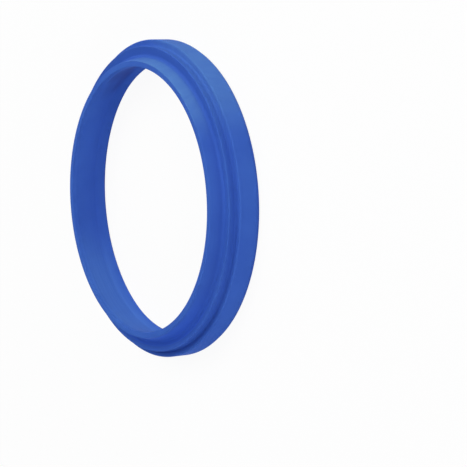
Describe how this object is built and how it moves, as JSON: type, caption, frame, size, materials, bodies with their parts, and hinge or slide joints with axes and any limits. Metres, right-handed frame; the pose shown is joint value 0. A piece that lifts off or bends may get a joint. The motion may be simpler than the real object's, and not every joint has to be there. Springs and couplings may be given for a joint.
{
  "type": "wiper seal",
  "caption": "Moulded polyurethane rod wiper ring with a tapered wiping lip, a grooved neck behind its shoulder and a wider heel that seats in a groove.",
  "frame": {"origin": "centre of the rear face, on the ring's axis", "axes": "+Z along the ring's axis, from the rear face towards the wiping lip"},
  "size_m": [0.0706, 0.0706, 0.0096],
  "materials": {
    "polyurethane": "satin blue cast polyurethane"
  },
  "bodies": {
    "root": {"wiper_seal": "polyurethane"}
  },
  "joints": []
}
